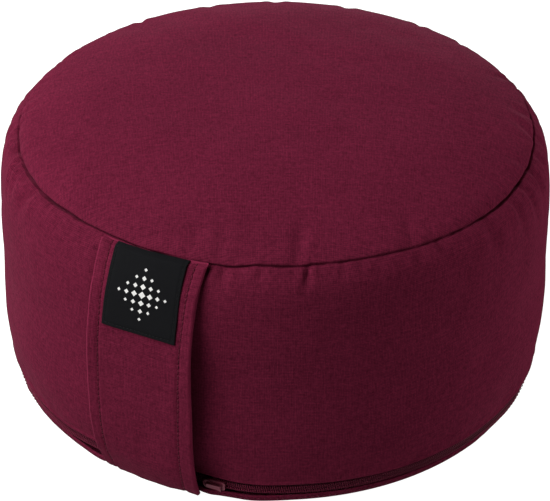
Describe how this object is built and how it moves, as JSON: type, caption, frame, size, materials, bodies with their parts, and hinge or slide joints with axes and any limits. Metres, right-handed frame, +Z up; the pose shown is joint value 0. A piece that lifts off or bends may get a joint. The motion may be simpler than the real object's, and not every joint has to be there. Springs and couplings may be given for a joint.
{
  "type": "round zafu meditation cushion",
  "caption": "Round drum-shaped floor cushion with a domed top, an upright sewn side, a zipped flat base and a broad fabric carry strap; raises a seated person for meditation.",
  "frame": {"origin": "centre of the flat base, on the surface that the cushion rests on", "axes": "+Z up through the middle of the top; -Y towards the strap handle and its label; +X to the right of the handle as one faces it"},
  "size_m": [0.33, 0.3392, 0.1807],
  "materials": {
    "canvas": "plain-weave cotton canvas, matt, burgundy",
    "label_cloth": "fine woven tag, matt, black",
    "zip_tape": "woven tape, burgundy",
    "zip_nylon": "nylon coil, low sheen, burgundy",
    "zip_metal": "lacquered die-cast metal, satin, burgundy"
  },
  "bodies": {
    "root": {"cushion": "canvas", "base_panel": "canvas", "handle": "canvas", "label": "label_cloth", "zip_tape": "zip_tape", "zip_coil": "zip_nylon", "zip_slider": "zip_metal", "zip_pull": "zip_metal"}
  },
  "joints": []
}
